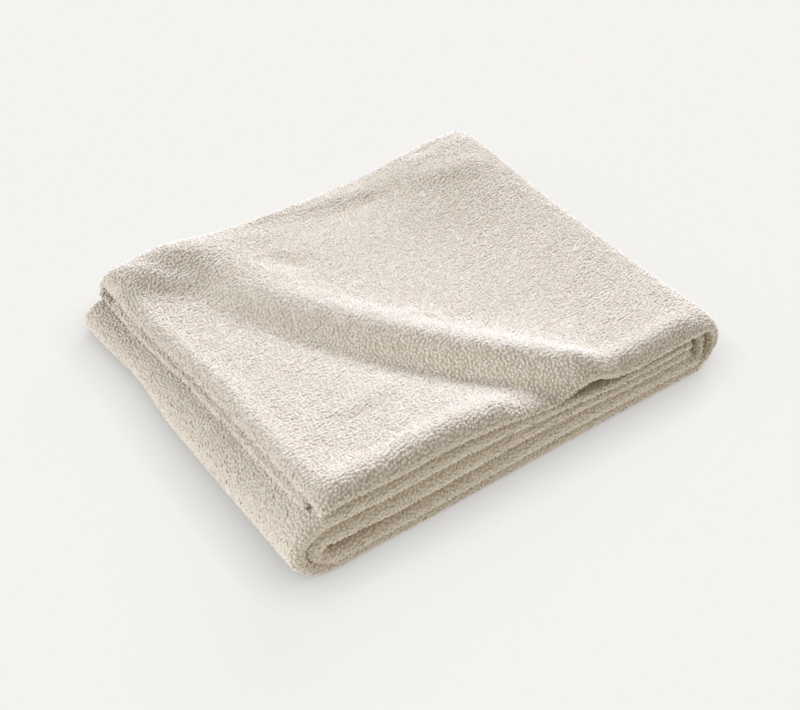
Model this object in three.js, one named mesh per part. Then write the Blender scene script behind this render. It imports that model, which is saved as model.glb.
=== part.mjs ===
// A boucle throw, folded and laid flat: one hemmed cloth. Millimetres, +Z up.
//
// Both long edges of the cloth are brought to its middle and it is shut like a book, which gives a
// strip of four plies with two rounded folds along the front and one along the back. The strip is
// then folded in three, always the same way round: top panel, right fold, bottom panel, left fold
// and middle panel, whose end lies inside the right fold.
//
// Two plies that share a front fold are a strand. Seen from the front, from the top down, the
// strands are a1 and a2 (top panel), b and c (middle panel), d and e (bottom panel). a1, e and b
// are one length of the outer strand, a2, d and c one length of the inner strand.
import * as THREE from 'three';

// Size of the folded throw and of its cloth.
const WIDTH = 454;
const DEPTH = 382;
const PLY = 3;
const AIR = 0.5;
const PITCH = PLY + AIR;
const PANEL_GAP = 0.8;
const SETTLED = 2 * PITCH;
const LEFT = -WIDTH / 2;
const RIGHT = WIDTH / 2;
const FRONT = -DEPTH / 2;

// Thickness of each strand along the front edge, where the cloth is loosest, and how far back the
// top panel's front fold takes to round over.
const FRONT_STRANDS = [
  { x: -183, a1: 8.5, a2: 8, b: 20, c: 19, d: 14, e: 9, roll: 12 },
  { x: -149, a1: 10, a2: 8.5, b: 19, c: 21, d: 14, e: 9, roll: 13 },
  { x: -79, a1: 11, a2: 8.5, b: 17.5, c: 22, d: 17, e: 8, roll: 14 },
  { x: -29, a1: 10, a2: 7.5, b: 14, c: 18.5, d: 19.5, e: 8.5, roll: 13 },
  { x: 21, a1: 7.5, a2: 7.2, b: 10, c: 12.5, d: 21, e: 10, roll: 9 },
  { x: 57, a1: 9, a2: 7.2, b: 9, c: 10, d: 19.5, e: 11, roll: 11 },
  { x: 113, a1: 10, a2: 7.5, b: 7.4, c: 7.4, d: 17.5, e: 10, roll: 13 },
  { x: 181, a1: 9.5, a2: 7.5, b: 9, c: 9, d: 18, e: 7.5, roll: 12 },
];

// How far the looseness of the front reaches towards the back, at the left and at the right.
const LOOSE_LEFT = { x: -153, reach: 330 };
const LOOSE_RIGHT = { x: 57, reach: 120 };
const LOOSE_POWER = 1.3;

// The soft ridge across the top panel, from the back edge to the front edge: its crest and height,
// how wide its steep front-left side is, and its back-right side, which has a narrow shoulder by the
// crest and falls gently past it from a shelf that is a share of the height. A share of the ridge is
// air between the top panel's own plies, and the rest is air under the panel.
const RIDGE = [
  { x: -140, y: 191, height: 5, frontLeft: 36, shoulder: 24, shelf: 0.7, backRight: 50 },
  { x: -102, y: 138, height: 12, frontLeft: 46, shoulder: 26, shelf: 0.75, backRight: 75 },
  { x: -83, y: 72, height: 18, frontLeft: 52, shoulder: 28, shelf: 0.8, backRight: 105 },
  { x: -34, y: -43, height: 25, frontLeft: 50, shoulder: 30, shelf: 0.84, backRight: 115 },
  { x: 5, y: -108, height: 27, frontLeft: 46, shoulder: 30, shelf: 0.78, backRight: 95 },
  { x: 40, y: -150, height: 22, frontLeft: 44, shoulder: 28, shelf: 0.5, backRight: 60 },
  { x: 74, y: -191, height: 13, frontLeft: 40, shoulder: 20, shelf: 0.1, backRight: 32 },
];
const RIDGE_IN_A1 = 0.4;
const RIDGE_POWER = 0.9;

// Soft rims of the top panel along its front fold, to the left and to the right of the ridge.
const RIMS = [
  {
    points: [[-205, -166], [-163, -169], [-118, -170], [-71, -168], [-36, -168], [0, -180]],
    height: 4.2,
    reach: 15,
    fade: 26,
  },
  {
    points: [[44, -158], [66, -174], [95, -178], [130, -178], [205, -176]],
    height: 5,
    reach: 12,
    fade: 24,
  },
];

// Places where the top panel is plumped up between its two faces.
const PLUMP = [
  { x: -175, y: 188, a1: 8, a2: 8, reachX: 100, reachY: 48 },
  { x: 184, y: 153, a1: 8, a2: 6, reachX: 58, reachY: 62 },
];
const BACK_RIM = { rise: 1.5, y: 179, reach: 14 };

// Ends and folds of the strip.
const TOP_END = { outer: -200, inner: -205.5, bow: 4, droop: 0.8 };
const MIDDLE_END = 187;
const LEFT_HOLLOW = { along: 6, high: 5, from: -183, to: -123 };
const RIGHT_HOLLOW = 8;
const LEFT_BOW = { inward: 5, y: 85, reach: 46 };
const CROWN = { lift: 9, from: 40, to: 190 };
const CORNER_EASE = 3;
const HEM_FROM_BACK = 30;

// How far each strand's front fold and each panel's back fold stand in from the stack's own edges.
// The front fold of a2 stands well back, and a1 hangs down in front of it.
const FRONT_INSET = { a1: 2, a2: 20, b: 2, c: 1, d: 0, e: 1.5 };
const FRONT_DROOP = { from: -171, to: -188 };
const ROLL_LIMIT = 1.6;
const BACK_INSET = { top: 0, bottom: 2, middle: 5 };

// Mesh steps along the strip's panels and folds, across it along the plies, which share their
// depths so that they stay parallel, and around its front and back folds. The plies of the outer
// strand have one more depth, at their front rim.
const STRIP_STEPS = { top: 22, right: 6, bottom: 7, left: 7, middle: 7 };
const PLY_DEPTHS = [-160, -134, -104, -66, -24, 20, 64, 108, 149];
const RIM_DEPTH = -167.6;
const FRONT_FOLD_STEPS = 5;
const BACK_FOLD_STEPS = 6;

const COLOUR = 0xe9e2d6;
const ROUGHNESS = 0.95;

const { lerp, clamp, smoothstep, degToRad } = THREE.MathUtils;
const bump = (distance, reach) => Math.exp(-((distance / reach) ** 2));

// Reads one column of a table at a place between its rows, as a smooth curve through the rows.
function column(rows, at, key, place) {
  const ascending = rows[0][at] < rows[rows.length - 1][at];
  const order = ascending ? rows : [...rows].reverse();
  const last = order.length - 1;
  const held = clamp(place, order[0][at], order[last][at]);
  let row = 0;
  while (row < last - 1 && held > order[row + 1][at]) {
    row += 1;
  }
  const slope = (i) => {
    const before = order[Math.max(i - 1, 0)];
    const after = order[Math.min(i + 1, last)];
    return (after[key] - before[key]) / (after[at] - before[at]);
  };
  const span = order[row + 1][at] - order[row][at];
  const t = (held - order[row][at]) / span;
  const rise = order[row + 1][key] - order[row][key];
  const start = slope(row) * span - rise;
  const end = rise - slope(row + 1) * span;
  return order[row][key] + t * rise + t * (1 - t) * ((1 - t) * start + t * end);
}

// Share of the front edge's looseness that is left at a place.
function looseness(x, y) {
  const across = smoothstep(x, LOOSE_LEFT.x, LOOSE_RIGHT.x);
  const reach = lerp(LOOSE_LEFT.reach, LOOSE_RIGHT.reach, across);
  return clamp(1 - (y - FRONT) / reach, 0, 1) ** LOOSE_POWER;
}

// Height of the top panel's ridge at a place.
function ridgeLift(x, y) {
  const along = clamp(y, FRONT, -FRONT);
  const at = (key) => column(RIDGE, 'y', key, along);
  const lean = Math.atan2(RIDGE[0].x - RIDGE[RIDGE.length - 1].x, DEPTH);
  const distance = (x - at('x')) * Math.cos(lean);
  if (distance < 0) {
    const below = Math.min(-distance / at('frontLeft'), 1);
    return at('height') * (0.5 + 0.5 * Math.cos(Math.PI * below ** RIDGE_POWER));
  }
  const shoulder = bump(distance, at('shoulder'));
  return at('height') * lerp(shoulder, bump(distance, at('backRight')), at('shelf'));
}

// Height of a soft rim at a place: it follows a line of points and fades out at both ends.
function rimLift(rim, x, y) {
  let nearest = Infinity;
  let along = 0;
  let run = 0;
  for (let i = 0; i < rim.points.length - 1; i += 1) {
    const [x0, y0] = rim.points[i];
    const [x1, y1] = rim.points[i + 1];
    const length = Math.hypot(x1 - x0, y1 - y0);
    const share = clamp(((x - x0) * (x1 - x0) + (y - y0) * (y1 - y0)) / length ** 2, 0, 1);
    const away = Math.hypot(x - lerp(x0, x1, share), y - lerp(y0, y1, share));
    if (away < nearest) {
      nearest = away;
      along = run + share * length;
    }
    run += length;
  }
  return rim.height * bump(nearest, rim.reach) * smoothstep(Math.min(along, run - along), 0, rim.fade);
}

// Thickness of every strand at a place, and the air under the middle and the top panel.
function stack(x, y) {
  const loose = looseness(x, y);
  const layers = {};
  for (const strand of ['a1', 'a2', 'b', 'c', 'd', 'e']) {
    const front = column(FRONT_STRANDS, 'x', strand, x);
    layers[strand] = SETTLED + (front - SETTLED) * loose;
  }
  for (const place of PLUMP) {
    const share = bump(x - place.x, place.reachX) * bump(y - place.y, place.reachY);
    layers.a1 += place.a1 * share;
    layers.a2 += place.a2 * share;
  }
  layers.a1 += BACK_RIM.rise * bump(y - BACK_RIM.y, BACK_RIM.reach);
  const nearLeft = 1 - smoothstep(x, LEFT_HOLLOW.from, LEFT_HOLLOW.to);
  layers.underMiddle = PANEL_GAP + LEFT_HOLLOW.high * nearLeft * loose;
  const crown = CROWN.lift * smoothstep(x, CROWN.from, CROWN.to) * (1 - loose);
  const ridge = ridgeLift(x, y);
  layers.a1 += RIDGE_IN_A1 * ridge;
  for (const rim of RIMS) {
    layers.a1 += rimLift(rim, x, y);
  }
  const droop = clamp((y - FRONT_DROOP.from) / (FRONT_DROOP.to - FRONT_DROOP.from), 0, 1) ** 2;
  layers.underTop = PANEL_GAP + (1 - RIDGE_IN_A1) * ridge + crown - droop * layers.a2;
  return layers;
}

// Heights of the face between the two strands of each panel.
function panelHeights(layers) {
  const bottom = layers.e - AIR / 2;
  const middle = bottom + layers.d + layers.underMiddle + layers.c;
  const top = middle + layers.b + layers.underTop + layers.a2;
  return { bottom, middle, top };
}

// The left fold at a depth: where it starts and its half axes between the strands.
function leftFold(y) {
  const layers = stack(LEFT, y);
  const heights = panelHeights(layers);
  const reach = LEFT_HOLLOW.along + (layers.d + layers.c) / 2;
  const edge = LEFT + LEFT_BOW.inward * bump(y - LEFT_BOW.y, LEFT_BOW.reach);
  return {
    x: edge + reach + (layers.e + layers.b) / 2,
    z: (heights.bottom + heights.middle) / 2,
    reach,
    rise: (heights.middle - heights.bottom) / 2,
    from: { outer: layers.e, inner: layers.d },
    to: { outer: layers.b, inner: layers.c },
  };
}

// The right fold at a depth, in the same way.
function rightFold(y) {
  const edge = stack(RIGHT, y);
  const x = RIGHT - RIGHT_HOLLOW - (edge.a2 + edge.d + edge.a1 + edge.e) / 2;
  const layers = stack(x, y);
  const heights = panelHeights(layers);
  return {
    x,
    z: (heights.top + heights.bottom) / 2,
    reach: RIGHT - x - (layers.a1 + layers.e) / 2,
    rise: (heights.top - heights.bottom) / 2,
    from: { outer: layers.a1, inner: layers.a2 },
    to: { outer: layers.e, inner: layers.d },
  };
}

// A place on a fold: which way is outwards, and how thick each strand is there.
function foldBed(fold, side, angle, share) {
  const dx = side * Math.cos(angle);
  const dz = Math.sin(angle);
  return {
    x: fold.x + fold.reach * dx,
    z: fold.z + fold.rise * dz,
    dx,
    dz,
    outer: lerp(fold.from.outer, fold.to.outer, share),
    inner: lerp(fold.from.inner, fold.to.inner, share),
  };
}

// A place on a panel, at x, with its outer strand above or below.
function panelBed(name, x, y) {
  const layers = stack(x, y);
  const z = panelHeights(layers)[name];
  const strands = {
    top: { dz: 1, outer: layers.a1, inner: layers.a2 },
    bottom: { dz: -1, outer: layers.e, inner: layers.d },
    middle: { dz: 1, outer: layers.b, inner: layers.c },
  };
  return { x, z, dx: 0, ...strands[name] };
}

// The top panel at one place along it. Its inner strand reaches out a little past its outer strand,
// and its end droops over the left fold.
function topBed(share, y, inside) {
  const end = TOP_END.outer + TOP_END.bow * bump(y, DEPTH / 4);
  const past = inside * (TOP_END.inner - TOP_END.outer) * clamp(1 - share * STRIP_STEPS.top, 0, 1);
  const bed = panelBed('top', lerp(end, rightFold(y).x, share) + past, y);
  const fold = leftFold(y);
  const over = clamp((fold.x - bed.x) / (fold.reach + fold.to.outer), 0, 1);
  bed.z -= TOP_END.droop * (fold.rise + fold.to.outer) * (1 - Math.sqrt(1 - over ** 2));
  return bed;
}

// The face between the strip's two strands at one place along it. part is the strip's panel or
// fold, share runs along it from 0 to 1, and inside runs from 0 (outer strand) to 1 (inner strand).
function stripBed(part, share, y, inside) {
  if (part === 'top') {
    return topBed(share, y, inside);
  }
  if (part === 'right') {
    return foldBed(rightFold(y), 1, degToRad(90 - 180 * share), share);
  }
  if (part === 'bottom') {
    return panelBed('bottom', lerp(rightFold(y).x, leftFold(y).x, share), y);
  }
  if (part === 'left') {
    return foldBed(leftFold(y), -1, degToRad(180 * share - 90), share);
  }
  return panelBed('middle', lerp(leftFold(y).x, MIDDLE_END, share), y);
}

// How far back the outer strand's front fold takes to round over at one place along the strip, from
// its half thickness there.
function frontRoll(part, share, radius) {
  if (part === 'top') {
    const roll = column(FRONT_STRANDS, 'x', 'roll', topBed(share, FRONT, 0).x);
    return clamp(roll, radius, ROLL_LIMIT * radius);
  }
  if (part === 'right') {
    return radius * lerp(ROLL_LIMIT, 1, share);
  }
  return radius;
}

// Insets of the front and back folds along the strip, eased in at the stack's corners.
function insets(part, share) {
  const ease = CORNER_EASE * Math.sin(Math.PI * share);
  const flat = {
    top: { outer: FRONT_INSET.a1, inner: FRONT_INSET.a2, back: BACK_INSET.top },
    bottom: { outer: FRONT_INSET.e, inner: FRONT_INSET.d, back: BACK_INSET.bottom },
    middle: { outer: FRONT_INSET.b, inner: FRONT_INSET.c, back: BACK_INSET.middle },
  };
  if (flat[part]) {
    return flat[part];
  }
  const from = part === 'right' ? flat.top : flat.bottom;
  const to = part === 'right' ? flat.bottom : flat.middle;
  const between = (key) => lerp(from[key], to[key], share) + ease;
  return { outer: between('outer'), inner: between('inner'), back: between('back') };
}

// The cloth's path across the strip at one place along it, from hem to hem. Each step of the path
// has the depth y, the offset from the face between the strands, the direction of the cloth's
// outward face, and how far inside the strip it is.
function clothPath(part, share) {
  const inset = insets(part, share);
  const frontBed = stripBed(part, share, FRONT, 0);
  const backBed = stripBed(part, share, -FRONT - inset.back, 0);
  const outerRadius = (frontBed.outer - PITCH) / 2;
  const innerRadius = (frontBed.inner - PITCH) / 2;
  const backRadius = (backBed.outer + backBed.inner - PITCH) / 2;
  const outerTip = FRONT + inset.outer + PLY / 2;
  const innerTip = FRONT + inset.inner + PLY / 2;
  const outerRoll = frontRoll(part, share, outerRadius);
  const back = -FRONT - inset.back - backRadius - PLY / 2;
  const hem = -FRONT - inset.back - HEM_FROM_BACK;
  const path = [];

  const lower = { outer: () => PITCH / 2, inner: (bed) => PITCH / 2 - bed.inner };
  const upper = { outer: (bed) => bed.outer - PITCH / 2, inner: () => -PITCH / 2 };
  const insides = { outer: 0, inner: 1 };
  const depths = { outer: [RIM_DEPTH, ...PLY_DEPTHS], inner: PLY_DEPTHS };
  const addPly = (strand, height, from, to, face) => {
    const inside = insides[strand];
    const between = from < to ? depths[strand] : [...depths[strand]].reverse();
    for (const y of [from, ...between, to]) {
      const offset = height[strand](stripBed(part, share, y, inside));
      path.push({ y, offset, faceY: 0, faceOffset: face, inside });
    }
  };
  const addFrontFold = (strand, tip, lowerReach, upperReach) => {
    const inside = insides[strand];
    for (let i = 1; i < FRONT_FOLD_STEPS; i += 1) {
      const angle = Math.PI * (1.5 - i / FRONT_FOLD_STEPS);
      const outY = Math.cos(angle);
      const outOffset = Math.sin(angle);
      const reach = outOffset > 0 ? upperReach : lowerReach;
      const y = tip + reach * (1 + outY);
      const bed = stripBed(part, share, y, inside);
      const radius = (bed[strand] - PITCH) / 2;
      const size = Math.hypot(radius * outY, reach * outOffset);
      path.push({
        y,
        offset: lower[strand](bed) + radius * (1 + outOffset),
        faceY: (radius * outY) / size,
        faceOffset: (reach * outOffset) / size,
        inside,
      });
    }
  };
  const addBackFold = () => {
    const middle = (backBed.outer - backBed.inner) / 2;
    for (let i = 1; i < BACK_FOLD_STEPS; i += 1) {
      const angle = Math.PI * (0.5 - i / BACK_FOLD_STEPS);
      const faceY = Math.cos(angle);
      const faceOffset = Math.sin(angle);
      const y = back + backRadius * faceY;
      const offset = middle + backRadius * faceOffset;
      path.push({ y, offset, faceY, faceOffset, inside: i / BACK_FOLD_STEPS });
    }
  };

  addPly('outer', lower, hem, outerTip + outerRadius, -1);
  addFrontFold('outer', outerTip, outerRadius, outerRoll);
  addPly('outer', upper, outerTip + outerRoll, back, 1);
  addBackFold();
  addPly('inner', lower, back, innerTip + innerRadius, -1);
  addFrontFold('inner', innerTip, innerRadius, innerRadius);
  addPly('inner', upper, innerTip + innerRadius, hem, 1);
  return path;
}

// The cloth's section at one place along the strip: its outward face from hem to hem, then its
// other face back again.
function clothSection(part, share) {
  const path = clothPath(part, share);
  const faces = [
    { steps: path, side: PLY / 2 },
    { steps: [...path].reverse(), side: -PLY / 2 },
  ];
  const section = [];
  for (const { steps, side } of faces) {
    for (const step of steps) {
      const y = step.y + side * step.faceY;
      const offset = step.offset + side * step.faceOffset;
      const bed = stripBed(part, share, y, step.inside);
      section.push([bed.x + bed.dx * offset, y, bed.z + bed.dz * offset]);
    }
  }
  return section;
}

// Every section along the strip, from the top panel's free end to the middle panel's.
function clothSections() {
  const sections = [clothSection('top', 0)];
  for (const [part, steps] of Object.entries(STRIP_STEPS)) {
    for (let i = 1; i <= steps; i += 1) {
      sections.push(clothSection(part, i / steps));
    }
  }
  return sections;
}

// A closed skin over the sections, with a hemmed end at the first and the last of them. Each of its
// quads is split along the diagonal that runs right and forwards, as the ridge does, so that layers
// stay parallel.
function clothGeometry() {
  const sections = clothSections();
  const count = sections[0].length;
  const half = count / 2;
  const triangles = [];
  for (let s = 0; s < sections.length - 1; s += 1) {
    for (let i = 0; i < count; i += 1) {
      const next = (i + 1) % count;
      const here = s * count;
      const there = here + count;
      const backwards = sections[s][next][1] - sections[s][i][1];
      const rightwards = sections[s + 1][i][0] - sections[s][i][0];
      if (backwards * rightwards < 0) {
        triangles.push(here + i, there + next, here + next);
        triangles.push(here + i, there + i, there + next);
      } else {
        triangles.push(here + i, there + i, here + next);
        triangles.push(here + next, there + i, there + next);
      }
    }
  }
  const addEnd = (first, flip) => {
    for (let i = 0; i < half - 1; i += 1) {
      const corners = [first + i, first + i + 1, first + count - 2 - i, first + count - 1 - i];
      const [a, b, c, d] = flip ? corners.reverse() : corners;
      triangles.push(a, c, b, a, d, c);
    }
  };
  addEnd(0, true);
  addEnd((sections.length - 1) * count, false);
  const geometry = new THREE.BufferGeometry();
  geometry.setAttribute('position', new THREE.Float32BufferAttribute(sections.flat(2), 3));
  geometry.setIndex(triangles);
  geometry.computeVertexNormals();
  return geometry;
}

const cloth = new THREE.MeshStandardMaterial({ color: COLOUR, roughness: ROUGHNESS, metalness: 0 });
const throwMesh = new THREE.Mesh(clothGeometry(), cloth);
throwMesh.name = 'throw';

const part = new THREE.Group();
part.add(throwMesh);

export default part;
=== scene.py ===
"""A boucle throw, folded and laid flat on a pale floor.

The cloth is one closed sheet along all its folds, with loops of boucle yarn on every part of it
that shows. The cloth and its loops are sized in millimetres until a mesh is made, and all else is
in metres. +Z is up and the front is at -Y.
"""
import logging
import math
from dataclasses import dataclass
from enum import Enum
from itertools import product
from typing import Callable, NamedTuple, Sequence

import bpy
import numpy as np
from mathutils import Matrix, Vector
from mathutils.bvhtree import BVHTree


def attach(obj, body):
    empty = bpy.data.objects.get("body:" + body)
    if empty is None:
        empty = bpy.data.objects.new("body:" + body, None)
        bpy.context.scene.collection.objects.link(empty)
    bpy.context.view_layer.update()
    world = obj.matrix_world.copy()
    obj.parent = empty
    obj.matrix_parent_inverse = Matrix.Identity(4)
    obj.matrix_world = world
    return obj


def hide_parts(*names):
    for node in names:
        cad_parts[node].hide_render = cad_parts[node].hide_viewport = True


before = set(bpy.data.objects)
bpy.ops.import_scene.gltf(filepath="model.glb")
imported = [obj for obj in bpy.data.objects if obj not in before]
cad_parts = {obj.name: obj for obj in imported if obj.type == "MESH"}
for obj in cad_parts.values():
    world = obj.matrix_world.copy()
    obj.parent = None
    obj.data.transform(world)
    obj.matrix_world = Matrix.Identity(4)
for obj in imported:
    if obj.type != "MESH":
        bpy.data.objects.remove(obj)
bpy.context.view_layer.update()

MM = 0.001
TINY = 1e-12
BAKE_MAP = "OFBake"
LOG = logging.getLogger("throw")
Array = np.ndarray
Colour = tuple[float, float, float]


def bump(distance: Array, reach: Array | float) -> Array:
    """Return a soft hump: 1 at no distance, near 0 past twice its reach."""
    return np.exp(-((distance / reach) ** 2))


def smoothstep(value: Array, low: float, high: float) -> Array:
    """Return a soft step from 0 at low to 1 at high."""
    share = np.clip((value - low) / (high - low), 0.0, 1.0)
    return share * share * (3.0 - 2.0 * share)


def between(start: Array | float, end: Array | float, share: Array | float) -> Array:
    """Return the value at a share of the way from start to end."""
    return start + (end - start) * share


def unit(vectors: Array) -> Array:
    """Return vectors of length 1 that point the same ways."""
    return vectors / np.maximum(np.linalg.norm(vectors, axis=-1, keepdims=True), TINY)


def diagonal_cross(corners: Array) -> Array:
    """Return the cross product of each quad's diagonals, whose length is twice the quad's area."""
    return np.cross(corners[:, 2] - corners[:, 0], corners[:, 3] - corners[:, 1])


def map_boxes(left: Array, right: Array, low: Array | float, high: Array | float) -> Array:
    """Return the four corners of each box on a flat map."""
    corners = np.broadcast_arrays(left, low, left, high, right, high, right, low)
    return np.stack(corners, -1).reshape(-1, 4, 2)


def add_object(name: str, data: bpy.types.ID) -> bpy.types.Object:
    """Add an object to the scene.

    Args:
        name: The object's name.
        data: Its mesh, lamp or camera.

    Returns:
        The new object.
    """
    new = bpy.data.objects.new(name, data)
    bpy.context.scene.collection.objects.link(new)
    return new


def vertex_normals(mesh: bpy.types.Mesh) -> Array:
    """Read a mesh's normals.

    Args:
        mesh: The mesh.

    Returns:
        The normal at each of its points.
    """
    normals = np.empty(len(mesh.vertices) * 3, np.float32)
    mesh.vertex_normals.foreach_get("vector", normals)
    return normals.reshape(-1, 3)


class Run(Enum):
    """Lengths of the folded strip, from the top panel's free end to the middle panel's."""

    TOP = "top panel"
    RIGHT = "right fold"
    BOTTOM = "bottom panel"
    LEFT = "left fold"
    MIDDLE = "middle panel"


class Layers(NamedTuple):
    """Thickness of every strand at a place, and the air under two of the panels."""

    a1: Array
    a2: Array
    b: Array
    c: Array
    d: Array
    e: Array
    under_middle: Array
    under_top: Array


class Panel(NamedTuple):
    """The face between a panel's strands: its height, the outer strand's way, and the strands."""

    z: Array
    way: float
    outer: Array
    inner: Array


class Fold(NamedTuple):
    """A fold of the strip: its start, how far it reaches out, and the two panels that it joins."""

    x: Array
    reach: Array
    start: Panel
    end: Panel

    @property
    def rise(self) -> Array:
        """Half the height between its panels."""
        return np.abs(self.start.z - self.end.z) / 2.0


class Bed(NamedTuple):
    """The face between the strip's strands: its place, the way out of it, and the strands on it."""

    x: Array
    z: Array
    dx: Array
    dz: Array
    outer: Array
    inner: Array


class Inset(NamedTuple):
    """How far the strands' front folds and the strip's back fold stand in from the edges."""

    outer: Array | float
    inner: Array | float
    back: Array | float


class Path(NamedTuple):
    """The cloth's way across the strip, from hem to hem, at many places along the strip."""

    y: Array
    offset: Array
    face_y: Array
    face_offset: Array
    inside: Array


@dataclass(frozen=True)
class StrandRow:
    """Thickness of each strand at one place along the front edge, where the cloth is loosest.

    The roll is how far back the top panel's front fold takes to round over.
    """

    x: float
    a1: float
    a2: float
    b: float
    c: float
    d: float
    e: float
    roll: float


@dataclass(frozen=True)
class RidgeRow:
    """The ridge across the top panel at one place: its crest, height and fall on either side.

    The front left side is one steep slope. The back right side has a narrow shoulder by the crest
    and falls gently past it, from a shelf that is a share of the height.
    """

    x: float
    y: float
    height: float
    front_left: float
    shoulder: float
    shelf: float
    back_right: float


@dataclass(frozen=True)
class Plump:
    """A place where the top panel is plumped up between its two faces."""

    x: float
    y: float
    a1: float
    a2: float
    reach_x: float
    reach_y: float


@dataclass(frozen=True)
class Swell:
    """A soft hump across the throw's depth."""

    height: float
    y: float
    reach: float

    def at(self, y: Array) -> Array:
        """Return its height at some depths."""
        return self.height * bump(y - self.y, self.reach)


@dataclass(frozen=True)
class Climb:
    """A soft step up along the throw's width."""

    height: float
    start: float
    end: float

    def at(self, x: Array) -> Array:
        """Return its height at some places."""
        return self.height * smoothstep(x, self.start, self.end)


@dataclass(frozen=True)
class LooseEnd:
    """How far back the looseness of the front edge reaches, at one place along it."""

    x: float
    reach: float


@dataclass(frozen=True)
class Crease:
    """A soft ridge or trough along a line of points on the top panel."""

    points: tuple[tuple[float, float], ...]
    height: float
    reach: float
    fade: float

    def lift(self, x: Array, y: Array) -> Array:
        """Find how far the crease moves the cloth at some places.

        Args:
            x: Places along the throw's width.
            y: Places along its depth.

        Returns:
            The lift at each place, which is negative in a trough.
        """
        nearest = np.full(np.broadcast(x, y).shape, np.inf)
        along = np.zeros_like(nearest)
        run = 0.0
        for (x0, y0), (x1, y1) in zip(self.points, self.points[1:]):
            length = math.hypot(x1 - x0, y1 - y0)
            share = ((x - x0) * (x1 - x0) + (y - y0) * (y1 - y0)) / length**2
            share = np.clip(share, 0.0, 1.0)
            away = np.hypot(x - between(x0, x1, share), y - between(y0, y1, share))
            closer = away < nearest
            nearest = np.where(closer, away, nearest)
            along = np.where(closer, run + share * length, along)
            run += length
        ends = smoothstep(np.minimum(along, run - along), 0.0, self.fade)
        return self.height * bump(nearest, self.reach) * ends


class SmoothTable:
    """A table that is read between its rows as a smooth curve."""

    def __init__(self, rows: Sequence[object], along: str) -> None:
        """Keep the rows in the order of one column.

        Args:
            rows: The table's rows.
            along: The name of the column that says where each row is.
        """
        self.rows = sorted(rows, key=lambda row: getattr(row, along))
        self.places = np.array([getattr(row, along) for row in self.rows], float)

    def at(self, key: str, place: Array) -> Array:
        """Read one column at some places.

        Args:
            key: The column's name.
            place: Where to read it.

        Returns:
            The column's value at each place.
        """
        values = np.array([getattr(row, key) for row in self.rows], float)
        last = len(values) - 1
        before = np.maximum(np.arange(last + 1) - 1, 0)
        after = np.minimum(np.arange(last + 1) + 1, last)
        slope = (values[after] - values[before]) / (self.places[after] - self.places[before])
        held = np.clip(place, self.places[0], self.places[-1])
        row = np.clip(np.searchsorted(self.places, held) - 1, 0, last - 1)
        span = self.places[row + 1] - self.places[row]
        share = (held - self.places[row]) / span
        rise = values[row + 1] - values[row]
        start = slope[row] * span - rise
        end = rise - slope[row + 1] * span
        curve = share * (1.0 - share) * ((1.0 - share) * start + share * end)
        return values[row] + share * rise + curve


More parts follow.
